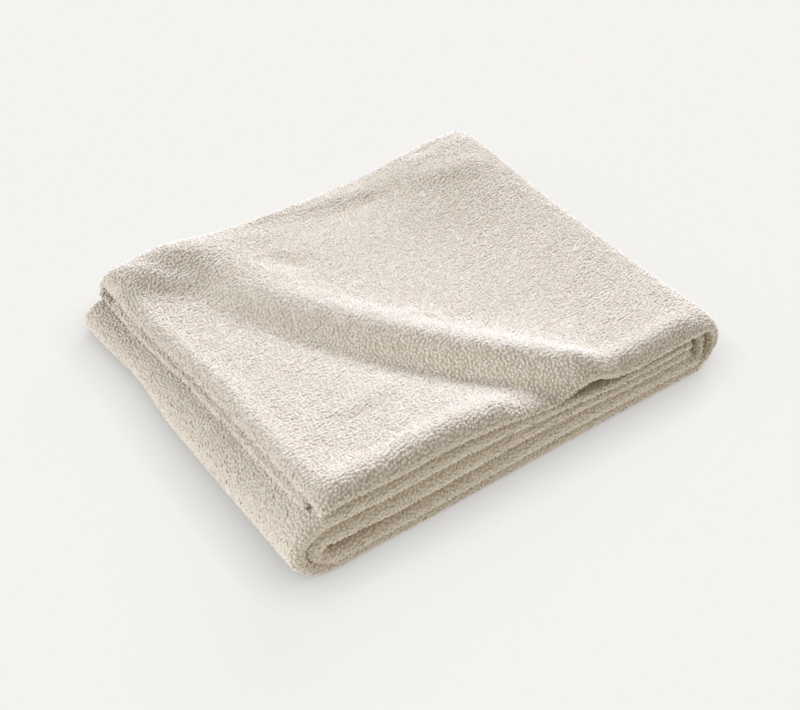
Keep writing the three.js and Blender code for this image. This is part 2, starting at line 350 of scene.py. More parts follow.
@dataclass(frozen=True)
class FoldPlan:
    """Sizes of the folded throw, and the places of its layers.

    Two plies that share a front fold are a strand. From the top down the strands are a1 and a2 in
    the top panel, b and c in the middle panel, d and e in the bottom panel.
    """

    width: float = 454.0
    depth: float = 382.0
    ply: float = 3.0
    air: float = 0.5
    panel_gap: float = 0.8
    panel_share: float = 0.9
    strands: tuple[StrandRow, ...] = (
        StrandRow(-183.0, a1=8.5, a2=8.0, b=20.0, c=19.0, d=14.0, e=9.0, roll=7.5),
        StrandRow(-149.0, a1=10.0, a2=8.5, b=19.0, c=21.0, d=14.0, e=9.0, roll=8.5),
        StrandRow(-79.0, a1=11.0, a2=8.5, b=17.5, c=22.0, d=17.0, e=8.0, roll=9.0),
        StrandRow(-29.0, a1=10.0, a2=7.5, b=14.0, c=18.5, d=19.5, e=8.5, roll=9.0),
        StrandRow(21.0, a1=7.5, a2=7.2, b=10.0, c=12.5, d=21.0, e=10.0, roll=9.0),
        StrandRow(57.0, a1=9.0, a2=7.2, b=9.0, c=10.0, d=19.5, e=11.0, roll=11.0),
        StrandRow(113.0, a1=10.0, a2=7.5, b=7.4, c=7.4, d=17.5, e=10.0, roll=13.0),
        StrandRow(181.0, a1=9.5, a2=7.5, b=9.0, c=9.0, d=18.0, e=7.5, roll=12.0),
    )
    loose_left: LooseEnd = LooseEnd(-153.0, reach=330.0)
    loose_right: LooseEnd = LooseEnd(57.0, reach=120.0)
    loose_power: float = 1.3
    ridge: tuple[RidgeRow, ...] = (
        RidgeRow(-140.0, 191.0, 5.0, front_left=35.0, shoulder=20.0, shelf=0.5, back_right=50.0),
        RidgeRow(-102.0, 138.0, 13.0, front_left=45.0, shoulder=22.0, shelf=0.6, back_right=75.0),
        RidgeRow(-83.0, 72.0, 19.0, front_left=51.0, shoulder=24.0, shelf=0.68, back_right=130.0),
        RidgeRow(-34.0, -43.0, 28.0, front_left=45.0, shoulder=27.0, shelf=0.7, back_right=135.0),
        RidgeRow(5.0, -108.0, 30.0, front_left=40.0, shoulder=29.0, shelf=0.66, back_right=95.0),
        RidgeRow(40.0, -150.0, 25.0, front_left=39.0, shoulder=28.0, shelf=0.5, back_right=60.0),
        RidgeRow(74.0, -191.0, 13.0, front_left=36.0, shoulder=17.0, shelf=0.1, back_right=28.0),
    )
    ridge_in_a1: float = 0.4
    ridge_power: float = 1.05
    plumps: tuple[Plump, ...] = (
        Plump(-175.0, 188.0, a1=8.0, a2=8.0, reach_x=100.0, reach_y=48.0),
        Plump(166.0, 140.0, a1=6.5, a2=5.0, reach_x=62.0, reach_y=70.0),
    )
    creases: tuple[Crease, ...] = (
        # Front rim, left of the ridge.
        Crease(((-205.0, -175.0), (-163.0, -178.0), (-118.0, -179.0), (-71.0, -177.0),
                (-36.0, -176.0), (0.0, -183.0)), height=5.2, reach=15.0, fade=26.0),
        # Hollow in the ridge's steep side.
        Crease(((-36.0, -66.0), (-10.0, -102.0), (16.0, -134.0)),
               height=-1.5, reach=15.0, fade=30.0),
        # Bead along the top panel's free end.
        Crease(((-189.0, -172.0), (-188.0, -90.0), (-184.0, 0.0), (-188.0, 90.0), (-190.0, 150.0)),
               height=3.5, reach=10.0, fade=30.0),
        # Trough behind the front rim.
        Crease(((-160.0, -132.0), (-118.0, -136.0), (-76.0, -134.0), (-40.0, -136.0)),
               height=-5.0, reach=18.0, fade=40.0),
        # Front rim, right of the ridge.
        Crease(((44.0, -158.0), (66.0, -174.0), (95.0, -178.0), (130.0, -178.0), (205.0, -176.0)),
               height=5.0, reach=12.0, fade=24.0),
        # Low hump between that trough and the ridge.
        Crease(((-150.0, -116.0), (-98.0, -105.0), (-53.0, -94.0)),
               height=2.5, reach=17.0, fade=36.0),
        # Short pleat in the back left corner.
        Crease(((-179.0, 174.0), (-161.0, 153.0), (-128.0, 122.0)),
               height=4.0, reach=10.0, fade=18.0),
        # Dip behind the ridge's back end.
        Crease(((-71.0, 129.0), (-50.0, 104.0), (-36.0, 74.0)), height=-3.5, reach=13.0, fade=26.0),
        # Side branch of the ridge.
        Crease(((-24.0, -26.0), (6.0, -42.0), (24.0, -74.0)), height=2.0, reach=10.0, fade=24.0),
        # Broad swell before the back edge.
        Crease(((-70.0, 132.0), (0.0, 120.0), (80.0, 108.0), (150.0, 98.0)),
               height=2.5, reach=36.0, fade=50.0),
        # Trough along the back edge, and the rim behind it.
        Crease(((-76.0, 174.0), (-20.0, 167.0), (19.0, 158.0), (57.0, 150.0), (96.0, 143.0)),
               height=-2.0, reach=9.0, fade=34.0),
        Crease(((-60.0, 185.0), (0.0, 180.0), (50.0, 169.0), (100.0, 158.0)),
               height=2.0, reach=12.0, fade=36.0),
        # Band across the back right corner, and the dent behind it.
        Crease(((100.0, 146.0), (158.0, 128.0), (206.0, 120.0)), height=3.0, reach=14.0, fade=34.0),
        Crease(((136.0, 180.0), (156.0, 176.0), (172.0, 172.0)), height=-3.4, reach=9.0, fade=14.0),
    )
    back_rim: Swell = Swell(2.2, y=163.0, reach=18.0)
    top_end_outer: float = -200.0
    top_end_inner: float = -205.5
    top_end_bow: Swell = Swell(4.0, y=0.0, reach=95.5)
    top_end_round: float = 17.0
    top_end_thin: float = 5.4
    top_end_share: float = 1.0 / 24.0
    middle_end: float = 187.0
    left_hollow_along: float = 6.0
    left_hollow_high: float = 5.0
    left_hollow_span: tuple[float, float] = (-183.0, -123.0)
    right_hollow: float = 8.0
    left_bow: Swell = Swell(5.0, y=85.0, reach=46.0)
    crown: Climb = Climb(8.0, start=60.0, end=205.0)
    corner_ease: float = 3.0
    hem_from_back: float = 30.0
    front_droop: tuple[float, float] = (-161.0, -187.0)
    top_inset: Inset = Inset(outer=2.0, inner=20.0, back=0.0)
    bottom_inset: Inset = Inset(outer=1.5, inner=0.0, back=2.0)
    middle_inset: Inset = Inset(outer=2.0, inner=1.0, back=5.0)

    @property
    def pitch(self) -> float:
        """Distance from one ply to the next where the cloth lies settled."""
        return self.ply + self.air

    @property
    def settled(self) -> float:
        """Thickness of a strand where the cloth lies settled."""
        return 2.0 * self.pitch

    @property
    def panel_length(self) -> float:
        """Length of the top panel and of the middle panel, nearly."""
        return self.width * self.panel_share

    @property
    def left(self) -> float:
        """The throw's left edge, as far from the middle as its right edge."""
        return -self.width / 2.0

    @property
    def front(self) -> float:
        """The throw's front edge, as far from the middle as its back edge."""
        return -self.depth / 2.0

    def looseness(self, x: Array, y: Array) -> Array:
        """Find how much of the front edge's looseness is left.

        Args:
            x: Places along the throw's width.
            y: Places along its depth.

        Returns:
            The share that is left at each place.
        """
        left, right = self.loose_left, self.loose_right
        reach = between(left.reach, right.reach, smoothstep(x, left.x, right.x))
        return np.clip(1.0 - (y - self.front) / reach, 0.0, 1.0) ** self.loose_power

    def ridge_lift(self, x: Array, y: Array) -> Array:
        """Find how far the top panel stands up along its ridge.

        Args:
            x: Places along the throw's width.
            y: Places along its depth.

        Returns:
            The ridge's height at each place.
        """
        table = SmoothTable(self.ridge, "y")
        along = np.clip(y, self.front, -self.front)
        lean = math.atan2(self.ridge[0].x - self.ridge[-1].x, self.depth)
        distance = (x - table.at("x", along)) * math.cos(lean)
        below = np.clip(-distance / table.at("front_left", along), 0.0, 1.0)
        steep = 0.5 + 0.5 * np.cos(math.pi * below**self.ridge_power)
        beyond = np.maximum(distance, 0.0)
        shoulder = bump(beyond, table.at("shoulder", along))
        gentle = bump(beyond, table.at("back_right", along))
        gentle = between(shoulder, gentle, table.at("shelf", along))
        return table.at("height", along) * np.where(distance < 0.0, steep, gentle)

    def layers(self, x: Array, y: Array) -> Layers:
        """Find the thickness of every layer.

        Args:
            x: Places along the throw's width.
            y: Places along its depth.

        Returns:
            The strands' thickness and the air under the panels at each place.
        """
        x, y = np.broadcast_arrays(x, y)
        loose = self.looseness(x, y)
        table = SmoothTable(self.strands, "x")
        names = ("a1", "a2", "b", "c", "d", "e")
        thick = {name: between(self.settled, table.at(name, x), loose) for name in names}
        for place in self.plumps:
            share = bump(x - place.x, place.reach_x) * bump(y - place.y, place.reach_y)
            thick["a1"] = thick["a1"] + place.a1 * share
            thick["a2"] = thick["a2"] + place.a2 * share
        thick["a1"] = thick["a1"] + self.back_rim.at(y)
        near_left = 1.0 - smoothstep(x, *self.left_hollow_span)
        under_middle = self.panel_gap + self.left_hollow_high * near_left * loose
        crown = self.crown.at(x) * (1.0 - loose)
        ridge = self.ridge_lift(x, y)
        thick["a1"] = thick["a1"] + self.ridge_in_a1 * ridge
        stand = (1.0 - self.ridge_in_a1) * ridge + crown
        lift = sum(crease.lift(x, y) for crease in self.creases)
        thick["a1"] = thick["a1"] + np.maximum(lift, 0.0)
        stand = stand + np.minimum(lift, 0.0)
        droop_from, droop_to = self.front_droop
        droop = np.clip((y - droop_from) / (droop_to - droop_from), 0.0, 1.0) ** 2
        under_top = self.panel_gap + np.maximum(stand, 0.0) - droop * thick["a2"]
        return Layers(**thick, under_middle=under_middle, under_top=under_top)

    def panels(self, layers: Layers) -> dict[Run, Panel]:
        """Stack the panels up.

        Args:
            layers: The thickness of every layer.

        Returns:
            The face between the two strands of each panel.
        """
        bottom = layers.e - self.air / 2.0
        middle = bottom + layers.d + layers.under_middle + layers.c
        top = middle + layers.b + layers.under_top + layers.a2
        return {
            Run.TOP: Panel(top, 1.0, layers.a1, layers.a2),
            Run.MIDDLE: Panel(middle, 1.0, layers.b, layers.c),
            Run.BOTTOM: Panel(bottom, -1.0, layers.e, layers.d),
        }

    def left_fold(self, y: Array) -> Fold:
        """Shape the left fold.

        Args:
            y: Places along the throw's depth.

        Returns:
            The fold at each place.
        """
        layers = self.layers(np.full_like(y, self.left), y)
        panels = self.panels(layers)
        reach = self.left_hollow_along + (layers.d + layers.c) / 2.0
        x = self.left + self.left_bow.at(y) + reach + (layers.e + layers.b) / 2.0
        return Fold(x, reach, panels[Run.BOTTOM], panels[Run.MIDDLE])

    def right_fold(self, y: Array) -> Fold:
        """Shape the right fold.

        Args:
            y: Places along the throw's depth.

        Returns:
            The fold at each place.
        """
        edge = self.layers(np.full_like(y, -self.left), y)
        around = (edge.a1 + edge.a2 + edge.d + edge.e) / 2.0
        x = -self.left - self.right_hollow - around
        layers = self.layers(x, y)
        panels = self.panels(layers)
        reach = -self.left - x - (layers.a1 + layers.e) / 2.0
        return Fold(x, reach, panels[Run.TOP], panels[Run.BOTTOM])

    def fold_bed(self, fold: Fold, side: float, share: Array) -> Bed:
        """Find a place on a fold.

        Args:
            fold: The fold.
            side: 1 for the right fold, -1 for the left fold.
            share: How far round the fold the place is.

        Returns:
            The face between the strands there.
        """
        angle = side * math.pi * (0.5 - share)
        dx, dz = side * np.cos(angle), np.sin(angle)
        z = (fold.start.z + fold.end.z) / 2.0 + fold.rise * dz
        outer = between(fold.start.outer, fold.end.outer, share)
        inner = between(fold.start.inner, fold.end.inner, share)
        return Bed(fold.x + fold.reach * dx, z, dx, dz, outer, inner)

    def panel_bed(self, run: Run, x: Array, y: Array) -> Bed:
        """Find a place on a panel, with its outer strand above or below it.

        Args:
            run: The panel.
            x: Places along the throw's width.
            y: Places along its depth.

        Returns:
            The face between the strands there.
        """
        panel = self.panels(self.layers(x, y))[run]
        flat = np.zeros_like(panel.z)
        return Bed(x, panel.z, flat, flat + panel.way, panel.outer, panel.inner)

    def top_bed(self, share: Array, y: Array, inside: Array) -> Bed:
        """Find a place on the top panel, whose end droops over the left fold.

        Args:
            share: How far along the panel the place is.
            y: Its depth.
            inside: 0 on the outer strand, 1 on the inner strand, which reaches out further.

        Returns:
            The face between the strands there.
        """
        end = self.top_end_outer + self.top_end_bow.at(y)
        overhang = self.top_end_inner - self.top_end_outer
        past = inside * overhang * np.clip(1.0 - share / self.top_end_share, 0.0, 1.0)
        bed = self.panel_bed(Run.TOP, between(end, self.right_fold(y).x, share) + past, y)
        fold = self.left_fold(y)
        over = np.clip((fold.x - bed.x) / (fold.reach + fold.end.outer), 0.0, 1.0)
        fall = (fold.rise + fold.end.outer) * (1.0 - np.sqrt(1.0 - over**2))
        from_end = np.clip(share * self.panel_length / self.top_end_round, 0.0, 1.0)
        rounded = np.sqrt(1.0 - (1.0 - from_end) ** 2)
        outer = between(self.top_end_thin, bed.outer, rounded)
        inner = between(self.top_end_thin, bed.inner, rounded)
        return bed._replace(z=bed.z - fall - bed.inner + inner, outer=outer, inner=inner)

    def bed(self, run: Run, share: Array, y: Array, inside: Array) -> Bed:
        """Find the face between the strip's two strands.

        Args:
            run: The panel or fold.
            share: How far along it the place is.
            y: The place's depth.
            inside: 0 on the outer strand, 1 on the inner strand.

        Returns:
            The face at each place.
        """
        share, y, inside = (np.array(each) for each in np.broadcast_arrays(share, y, inside))
        if run is Run.TOP:
            return self.top_bed(share, y, inside)
        if run is Run.RIGHT:
            return self.fold_bed(self.right_fold(y), 1.0, share)
        if run is Run.LEFT:
            return self.fold_bed(self.left_fold(y), -1.0, share)
        if run is Run.BOTTOM:
            x = between(self.right_fold(y).x, self.left_fold(y).x, share)
        else:
            x = between(self.left_fold(y).x, self.middle_end, share)
        return self.panel_bed(run, x, y)

    def roll(self, run: Run, share: Array, radius: Array) -> Array:
        """Find how far back the outer strand's front fold takes to round over.

        Args:
            run: The panel or fold.
            share: Places along it.
            radius: The fold's half thickness there.

        Returns:
            The depth of the fold's outer half.
        """
        if run not in (Run.TOP, Run.RIGHT):
            return radius
        table = SmoothTable(self.strands, "x")
        if run is Run.TOP:
            x = self.top_bed(share, np.full_like(share, self.front), np.zeros_like(share)).x
            return np.maximum(table.at("roll", x), radius)
        return between(table.at("roll", np.full_like(share, -self.left)), radius, share)

    def insets(self, run: Run, share: Array) -> Inset:
        """Find how far the front and back folds stand in, eased at the stack's corners.

        Args:
            run: The panel or fold.
            share: Places along it.

        Returns:
            The insets at each place.
        """
        flat = {
            Run.TOP: self.top_inset,
            Run.BOTTOM: self.bottom_inset,
            Run.MIDDLE: self.middle_inset,
        }
        if run in flat:
            return Inset(*(np.full_like(share, each) for each in flat[run]))
        ends = {Run.RIGHT: (Run.TOP, Run.BOTTOM), Run.LEFT: (Run.BOTTOM, Run.MIDDLE)}
        first, last = ends[run]
        ease = self.corner_ease * np.sin(math.pi * share)
        pairs = zip(flat[first], flat[last])
        return Inset(*(between(start, end, share) + ease for start, end in pairs))


@dataclass
class FoldedCloth:
    """The throw's one sheet of cloth, laid along every fold of the plan."""

    plan: FoldPlan
    half_ply: float = 1.3
    end_half: float = 0.3
    end_steps: tuple[float, ...] = (0.0, 0.2, 0.5, 1.1, 2.2)
    strip_steps: tuple[tuple[Run, int], ...] = (
        (Run.TOP, 92),
        (Run.RIGHT, 14),
        (Run.BOTTOM, 14),
        (Run.LEFT, 14),
        (Run.MIDDLE, 14),
    )
    hidden_steps: int = 20
    hidden_crowd: float = 1.5
    shown_steps: int = 82
    front_fold_steps: int = 14
    back_fold_steps: int = 12
    flat_size: tuple[float, float] = (1.27, 1.5)

    def stations(self, run: Run, steps: int) -> Array:
        """Choose where along a panel or fold the cloth has a section.

        Args:
            run: The panel or fold.
            steps: How many even steps it has.

        Returns:
            The shares along it, one to a row.
        """
        shares = np.linspace(0.0, 1.0, steps + 1)[1:]
        ends = np.array(self.end_steps) / self.plan.panel_length
        if run is Run.TOP:
            shares = np.concatenate([ends, shares])
        if run is Run.MIDDLE:
            shares = np.concatenate([shares[:-1], 1.0 - ends[::-1]])
        return shares[:, None]

    def half_at(self, run: Run, share: Array) -> Array:
        """Find half the cloth's thickness, which rounds off at the strip's two free ends.

        Args:
            run: The panel or fold.
            share: Places along it.

        Returns:
            Half the thickness at each place.
        """
        ends = {Run.TOP: share, Run.MIDDLE: 1.0 - share}
        from_end = ends.get(run, np.ones_like(share)) * self.plan.panel_length / self.half_ply
        round_off = np.sqrt(1.0 - (1.0 - np.clip(from_end, 0.0, 1.0)) ** 2)
        return self.half_ply * between(self.end_half, 1.0, round_off)

    def path(self, run: Run, share: Array) -> Path:
        """Lay the cloth across the strip, from hem to hem.

        Args:
            run: The panel or fold.
            share: Places along it, one to a row.

        Returns:
            The path at each place, one to a row.
        """
        plan = self.plan
        inset = plan.insets(run, share)
        front = plan.bed(run, share, plan.front, 0.0)
        back = plan.bed(run, share, -plan.front - inset.back, 0.0)
        outer_radius = (front.outer - plan.pitch) / 2.0
        inner_radius = (front.inner - plan.pitch) / 2.0
        back_radius = (back.outer + back.inner - plan.pitch) / 2.0
        outer_tip = plan.front + inset.outer + plan.ply / 2.0
        outer_front = outer_tip + outer_radius
        outer_roll = plan.roll(run, share, outer_radius)
        inner_front = plan.front + inset.inner + inner_radius + plan.ply / 2.0
        back_start = -plan.front - inset.back - back_radius - plan.ply / 2.0
        hem = -plan.front - inset.back - plan.hem_from_back
        half_pitch = plan.pitch / 2.0

        def ply(start: Array, end: Array, steps: Array, inside: float, face: float,
                offset: Callable[[Bed], Array]) -> Path:
            """Return one ply of the path."""
            y = between(start, end, steps[None, :])
            height = offset(plan.bed(run, share, y, inside)) + np.zeros_like(y)
            flat = np.zeros_like(y)
            return Path(y, height, flat, flat + face, flat + inside)

        def front_fold(tip: Array, reach: Array, inside: float, base: Callable[[Bed], Array],
                       thickness: Callable[[Bed], Array]) -> Path:
            """Return the front fold of a strand, an oval from its lower ply to its upper one."""
            out_y, out_offset = np.cos(front_angle)[None, :], np.sin(front_angle)[None, :]
            y = tip + reach * (1.0 + out_y)
            bed = plan.bed(run, share, y, inside)
            radius = (thickness(bed) - plan.pitch) / 2.0
            size = np.hypot(radius * out_y, reach * out_offset)
            height = base(bed) + radius * (1.0 + out_offset)
            face_y, face_offset = radius * out_y / size, reach * out_offset / size
            return Path(y, height, face_y, face_offset, np.full_like(y, inside))

        def back_fold() -> Path:
            """Return the back fold, which joins the outer strand to the inner one."""
            face_y, face_offset = np.cos(back_angle)[None, :], np.sin(back_angle)[None, :]
            y = back_start + back_radius * face_y
            height = (back.outer - back.inner) / 2.0 + back_radius * face_offset
            flat = np.zeros_like(y)
            return Path(y, height, flat + face_y, flat + face_offset, flat + back_turn)

        front_turn = np.linspace(0.0, 1.0, self.front_fold_steps + 1)[1:-1]
        back_turn = np.linspace(0.0, 1.0, self.back_fold_steps + 1)[1:-1]
        front_angle = math.pi * (1.5 - front_turn)
        back_angle = math.pi * (0.5 - back_turn)
        outer_reach = np.where(np.sin(front_angle)[None, :] > 0.0, outer_roll, outer_radius)
        shown = np.linspace(0.0, 1.0, self.shown_steps + 1)
        backwards = np.linspace(0.0, 1.0, self.hidden_steps + 1) ** self.hidden_crowd
        forwards = 1.0 - backwards[::-1]
        blocks = (
            ply(hem, outer_front, forwards, 0.0, -1.0, lambda bed: half_pitch),
            front_fold(outer_tip, outer_reach, 0.0, lambda bed: half_pitch, lambda bed: bed.outer),
            ply(outer_tip + outer_roll, back_start, shown, 0.0, 1.0,
                lambda bed: bed.outer - half_pitch),
            back_fold(),
            ply(back_start, inner_front, forwards, 1.0, -1.0, lambda bed: half_pitch - bed.inner),
            front_fold(inner_front - inner_radius, inner_radius, 1.0,
                       lambda bed: half_pitch - bed.inner, lambda bed: bed.inner),
            ply(inner_front, hem, backwards, 1.0, 1.0, lambda bed: -half_pitch),
        )
        return Path(*(np.hstack(parts) for parts in zip(*blocks)))

    def sections(self) -> Array:
        """Lay out the cloth's sections along the strip.

        Returns:
            Their points in metres: one row to a section, round both faces of the cloth.
        """
        rows = []
        for run, steps in self.strip_steps:
            share = self.stations(run, steps)
            half = self.half_at(run, share)
            path = self.path(run, share)
            faces = []
            for side in (1.0, -1.0):
                y = path.y + side * half * path.face_y
                offset = path.offset + side * half * path.face_offset
                bed = self.plan.bed(run, share, y, path.inside)
                points = np.stack([bed.x + bed.dx * offset, y, bed.z + bed.dz * offset], -1)
                faces.append(points if side > 0.0 else points[:, ::-1])
            rows.append(np.concatenate(faces, 1))
        return np.concatenate(rows, 0) * MM

    def build(self) -> "Skin":
        """Make the sheet's mesh.

        Returns:
            The sheet as a skin of quads.
        """
        points = self.sections()
        rows, count = points.shape[:2]
        index = np.arange(rows * count).reshape(rows, count)
        turned = np.roll(index, -1, axis=1)
        quads = np.stack([index[:-1], index[1:], turned[1:], turned[:-1]], -1).reshape(-1, 4)
        half = count // 2
        i = np.arange(half - 1)
        start = np.stack([count - 1 - i, i, i + 1, count - 2 - i], -1)
        end = np.stack([i, count - 1 - i, count - 2 - i, i + 1], -1) + (rows - 1) * count
        return Skin(points.reshape(-1, 3), np.concatenate([quads, start, end]), rows, count)


@dataclass
class Skin:
    """A closed skin of quads over the sections of a sheet.

    Its two ends have narrow strips of their own at the edges of its flat map.
    """

    points: Array
    quads: Array
    rows: int
    count: int
    end_margin: float = 0.006
    end_strip: float = 0.0036

    def bake_map(self) -> Array:
        """Lay the skin out flat.

        Returns:
            A pair of numbers for each corner of its quads.
        """
        steps = np.arange(self.rows) / (self.rows - 1)
        along = between(self.end_margin, 1.0 - self.end_margin, steps)[:, None]
        across = np.arange(self.count) / self.count
        body = map_boxes(across, across + 1.0 / self.count, along[:-1], along[1:])
        ends = self.count // 2 - 1
        first = np.arange(ends) / ends
        strips = ((self.end_strip, 0.0), (1.0, 1.0 - self.end_strip))
        caps = [map_boxes(first, first + 1.0 / ends, top, base) for top, base in strips]
        return np.concatenate([body, *caps])


def make_piece(
    name: str, points: Array, faces: Sequence[Array], bake_map: Array,
) -> bpy.types.Object:
    """Make a smooth mesh piece.

    Args:
        name: The piece's name.
        points: Its points in metres.
        faces: Arrays of its faces, each with one row to a face.
        bake_map: A pair of numbers for each corner of the faces, in their order.

    Returns:
        The new object, in the scene.
    """
    mesh = bpy.data.meshes.new(name)
    corners = np.concatenate([each.ravel() for each in faces])
    sizes = np.concatenate([np.full(len(each), each.shape[1]) for each in faces])
    mesh.vertices.add(len(points))
    mesh.vertices.foreach_set("co", points.astype(np.float32).ravel())
    mesh.loops.add(len(corners))
    mesh.loops.foreach_set("vertex_index", corners.astype(np.int32))
    mesh.polygons.add(len(sizes))
    starts = np.concatenate([[0], np.cumsum(sizes)[:-1]])
    mesh.polygons.foreach_set("loop_start", starts.astype(np.int32))
    layer = mesh.uv_layers.new(name=BAKE_MAP, do_init=False)
    layer.uv.foreach_set("vector", bake_map.astype(np.float32).ravel())
    mesh.update(calc_edges=True)
    mesh.shade_smooth()
    return add_object(name, mesh)


class Zone(Enum):
    """Parts of the throw whose loops make one piece each."""

    TOP_LEFT = "loops_top_left"
    TOP_MIDDLE = "loops_top_middle"
    TOP_RIGHT = "loops_top_right"
    FRONT = "loops_front"
    BACK = "loops_back"
    LEFT = "loops_left"
    RIGHT = "loops_right"


@dataclass
class BoucleLoops:
    """Short bent loops of yarn, set close together on all of the cloth that shows.

    A loop is a flattened bead on a bent middle line. Each of its rings stands at a share of its
    half length and has a share of its radius. A quad of the cloth shows if it has a clear view in
    one of several directions.
    """

    spacing: float = 2.55
    length: tuple[float, float] = (3.0, 4.4)
    radius: tuple[float, float] = (1.35, 1.75)
    flat: float = 0.72
    bend: float = 0.7
    bend_middle: float = 0.3
    height: float = 0.3
    height_spread: float = 0.15
    sink: float = 0.7
    floor_gap: float = 0.2
    soft: float = 0.42
    tilt: float = 0.24
    sides: int = 4
    rings: tuple[tuple[float, float], ...] = ((-0.62, 0.84), (0.0, 1.0), (0.62, 0.84))
    tries: float = 12.0
    same_face: float = -0.2
    views: int = 14
    view_drop: float = 0.93
    clear: float = 0.6
    close: float = 2.2
    sight: float = 160.0
    top_height: float = 45.0
    top_facing: float = 0.6
    front_depth: float = 30.0
    front_facing: float = 0.3
    back_depth: float = 36.0
    map_margin: float = 0.08
    seed: int = 4

    def outlook(self) -> Array:
        """Spread views over a hemisphere whose middle is +Z.

        Returns:
            The views' directions.
        """
        number = np.arange(self.views)
        angle = number * (math.pi * (3.0 - math.sqrt(5.0)))
        z = 1.0 - (number + 0.5) / self.views * self.view_drop
        ring = np.sqrt(1.0 - z**2)
        return np.stack([ring * np.cos(angle), ring * np.sin(angle), z], -1)

    def shown(self, skin: Skin) -> Array:
        """Find the quads of a skin that can be seen from outside.

        Args:
            skin: The cloth's skin.

        Returns:
            True for each quad that shows.
        """
        corners = skin.points[skin.quads]
        middle, normal = corners.mean(1), unit(diagonal_cross(corners))
        tree = BVHTree.FromPolygons(skin.points.tolist(), skin.quads.tolist())
        outlook = [Vector(each) for each in self.outlook()]
        found = np.zeros(len(middle), bool)
        for i, (place, way) in enumerate(zip(middle.tolist(), normal.tolist())):
            out = Vector(way)
            start = Vector(place) + out * (self.clear * MM)
            if tree.ray_cast(start, out, self.close * MM)[0] is not None:
                continue
            turn = Vector((0.0, 0.0, 1.0)).rotation_difference(out)
            for each in outlook:
                ray = turn @ each
                on_floor = ray.z < 0.0 and start.z < -ray.z * self.sight * MM
                if not on_floor and tree.ray_cast(start, ray, self.sight * MM)[0] is None:
                    found[i] = True
                    break
        return found

    def scatter(self, skin: Skin, normals: Array) -> tuple[Array, Array]:
        """Spread places for the loops over the cloth that shows, no two too close.

        Args:
            skin: The cloth's skin.
            normals: The normal at each of its points.

        Returns:
            The places in metres and the cloth's normal at each.
        """
        rng = np.random.default_rng(self.seed)
        quads = skin.quads[self.shown(skin)]
        corners = skin.points[quads]
        area = np.linalg.norm(diagonal_cross(corners), axis=1) / 2.0
        wanted = int(self.tries * area.sum() / (self.spacing * MM) ** 2)
        pick = rng.choice(len(quads), wanted, p=area / area.sum())
        u, v = rng.random((2, wanted, 1))
        weights = np.stack([(1 - u) * (1 - v), u * (1 - v), u * v, (1 - u) * v], 1)
        places = (corners[pick] * weights).sum(1)
        ways = unit((normals[quads[pick]] * weights).sum(1))
        kept = self.thin_out(places / (self.spacing * MM), ways)
        LOG.info("cloth that shows: %.3f m2, %d loops", area.sum(), len(kept))
        return places[kept], ways[kept]

    def thin_out(self, places: Array, ways: Array) -> list[int]:
        """Pick places on one face of the cloth that are at least 1 apart.

        Args:
            places: All the places.
            ways: The cloth's normal at each.

        Returns:
            The numbers of the places that are kept.
        """
        cells = np.floor(places).astype(int).tolist()
        spots, outs = places.tolist(), ways.tolist()
        taken: dict[tuple[int, int, int], list[int]] = {}
        steps = list(product((-1, 0, 1), repeat=3))
        kept = []

        def crowds(one: int, other: int) -> bool:
            """Tell whether two places are close together on one face of the cloth."""
            (x, y, z), (ox, oy, oz) = spots[one], spots[other]
            if (x - ox) ** 2 + (y - oy) ** 2 + (z - oz) ** 2 >= 1.0:
                return False
            (x, y, z), (ox, oy, oz) = outs[one], outs[other]
            return x * ox + y * oy + z * oz > self.same_face

        for number, (x, y, z) in enumerate(cells):
            near = (taken.get((x + i, y + j, z + k), ()) for i, j, k in steps)
            if not any(crowds(number, other) for cell in near for other in cell):
                kept.append(number)
                taken.setdefault((x, y, z), []).append(number)
        return kept

    def pattern(self) -> tuple[Array, Array, Array, Array]:
        """Lay out the faces of one loop.

        Returns:
            Its quads, its triangles, and a flat map of the corners of each.
        """
        n, rings = self.sides, len(self.rings)
        quads, triangles, quad_map, triangle_map = [], [], [], []

        def at(row: int, column: float) -> tuple[float, float]:
            """Return a place on the flat map."""
            return row / (rings + 1), column / n

        for row, side in product(range(1, rings), range(n)):
            here, there, turned = (row - 1) * n, row * n, (side + 1) % n
            quads.append((here + side, there + side, there + turned, here + turned))
            corners = ((row, side), (row + 1, side), (row + 1, side + 1), (row, side + 1))
            quad_map.append([at(*corner) for corner in corners])
        for side in range(n):
            here, there, turned = 0, (rings - 1) * n, (side + 1) % n
            triangles.append((rings * n, here + side, here + turned))
            triangles.append((rings * n + 1, there + turned, there + side))
            triangle_map.append((at(0, side + 0.5), at(1, side), at(1, side + 1)))
            triangle_map.append((at(rings + 1, side + 0.5), at(rings, side + 1), at(rings, side)))
        quad_map, triangle_map = (
            between(self.map_margin, 1.0 - self.map_margin, np.array(each))
            for each in (quad_map, triangle_map)
        )
        return np.array(quads), np.array(triangles), quad_map, triangle_map

    def points(self, places: Array, ways: Array, rng: np.random.Generator) -> Array:
        """Shape a loop at each place.

        Args:
            places: The places in metres.
            ways: The cloth's normal at each place.
            rng: The source of the loops' differences.

        Returns:
            Every loop's points in metres, one row to a loop.
        """
        count = len(places)
        lean = rng.normal(0.0, self.tilt, (count, 3))
        up = unit(ways + lean - ways * (ways * lean).sum(1, keepdims=True))
        along = unit(np.cross(up, rng.normal(0.0, 1.0, (count, 3))))
        side = np.cross(along, up)
        half = rng.uniform(*self.length, (count, 1)) * MM / 2.0
        radius = rng.uniform(*self.radius, (count, 1)) * MM
        bend = rng.uniform(-self.bend, self.bend, (count, 1)) * MM
        lift = rng.normal(self.height, self.height_spread, (count, 1)) * MM

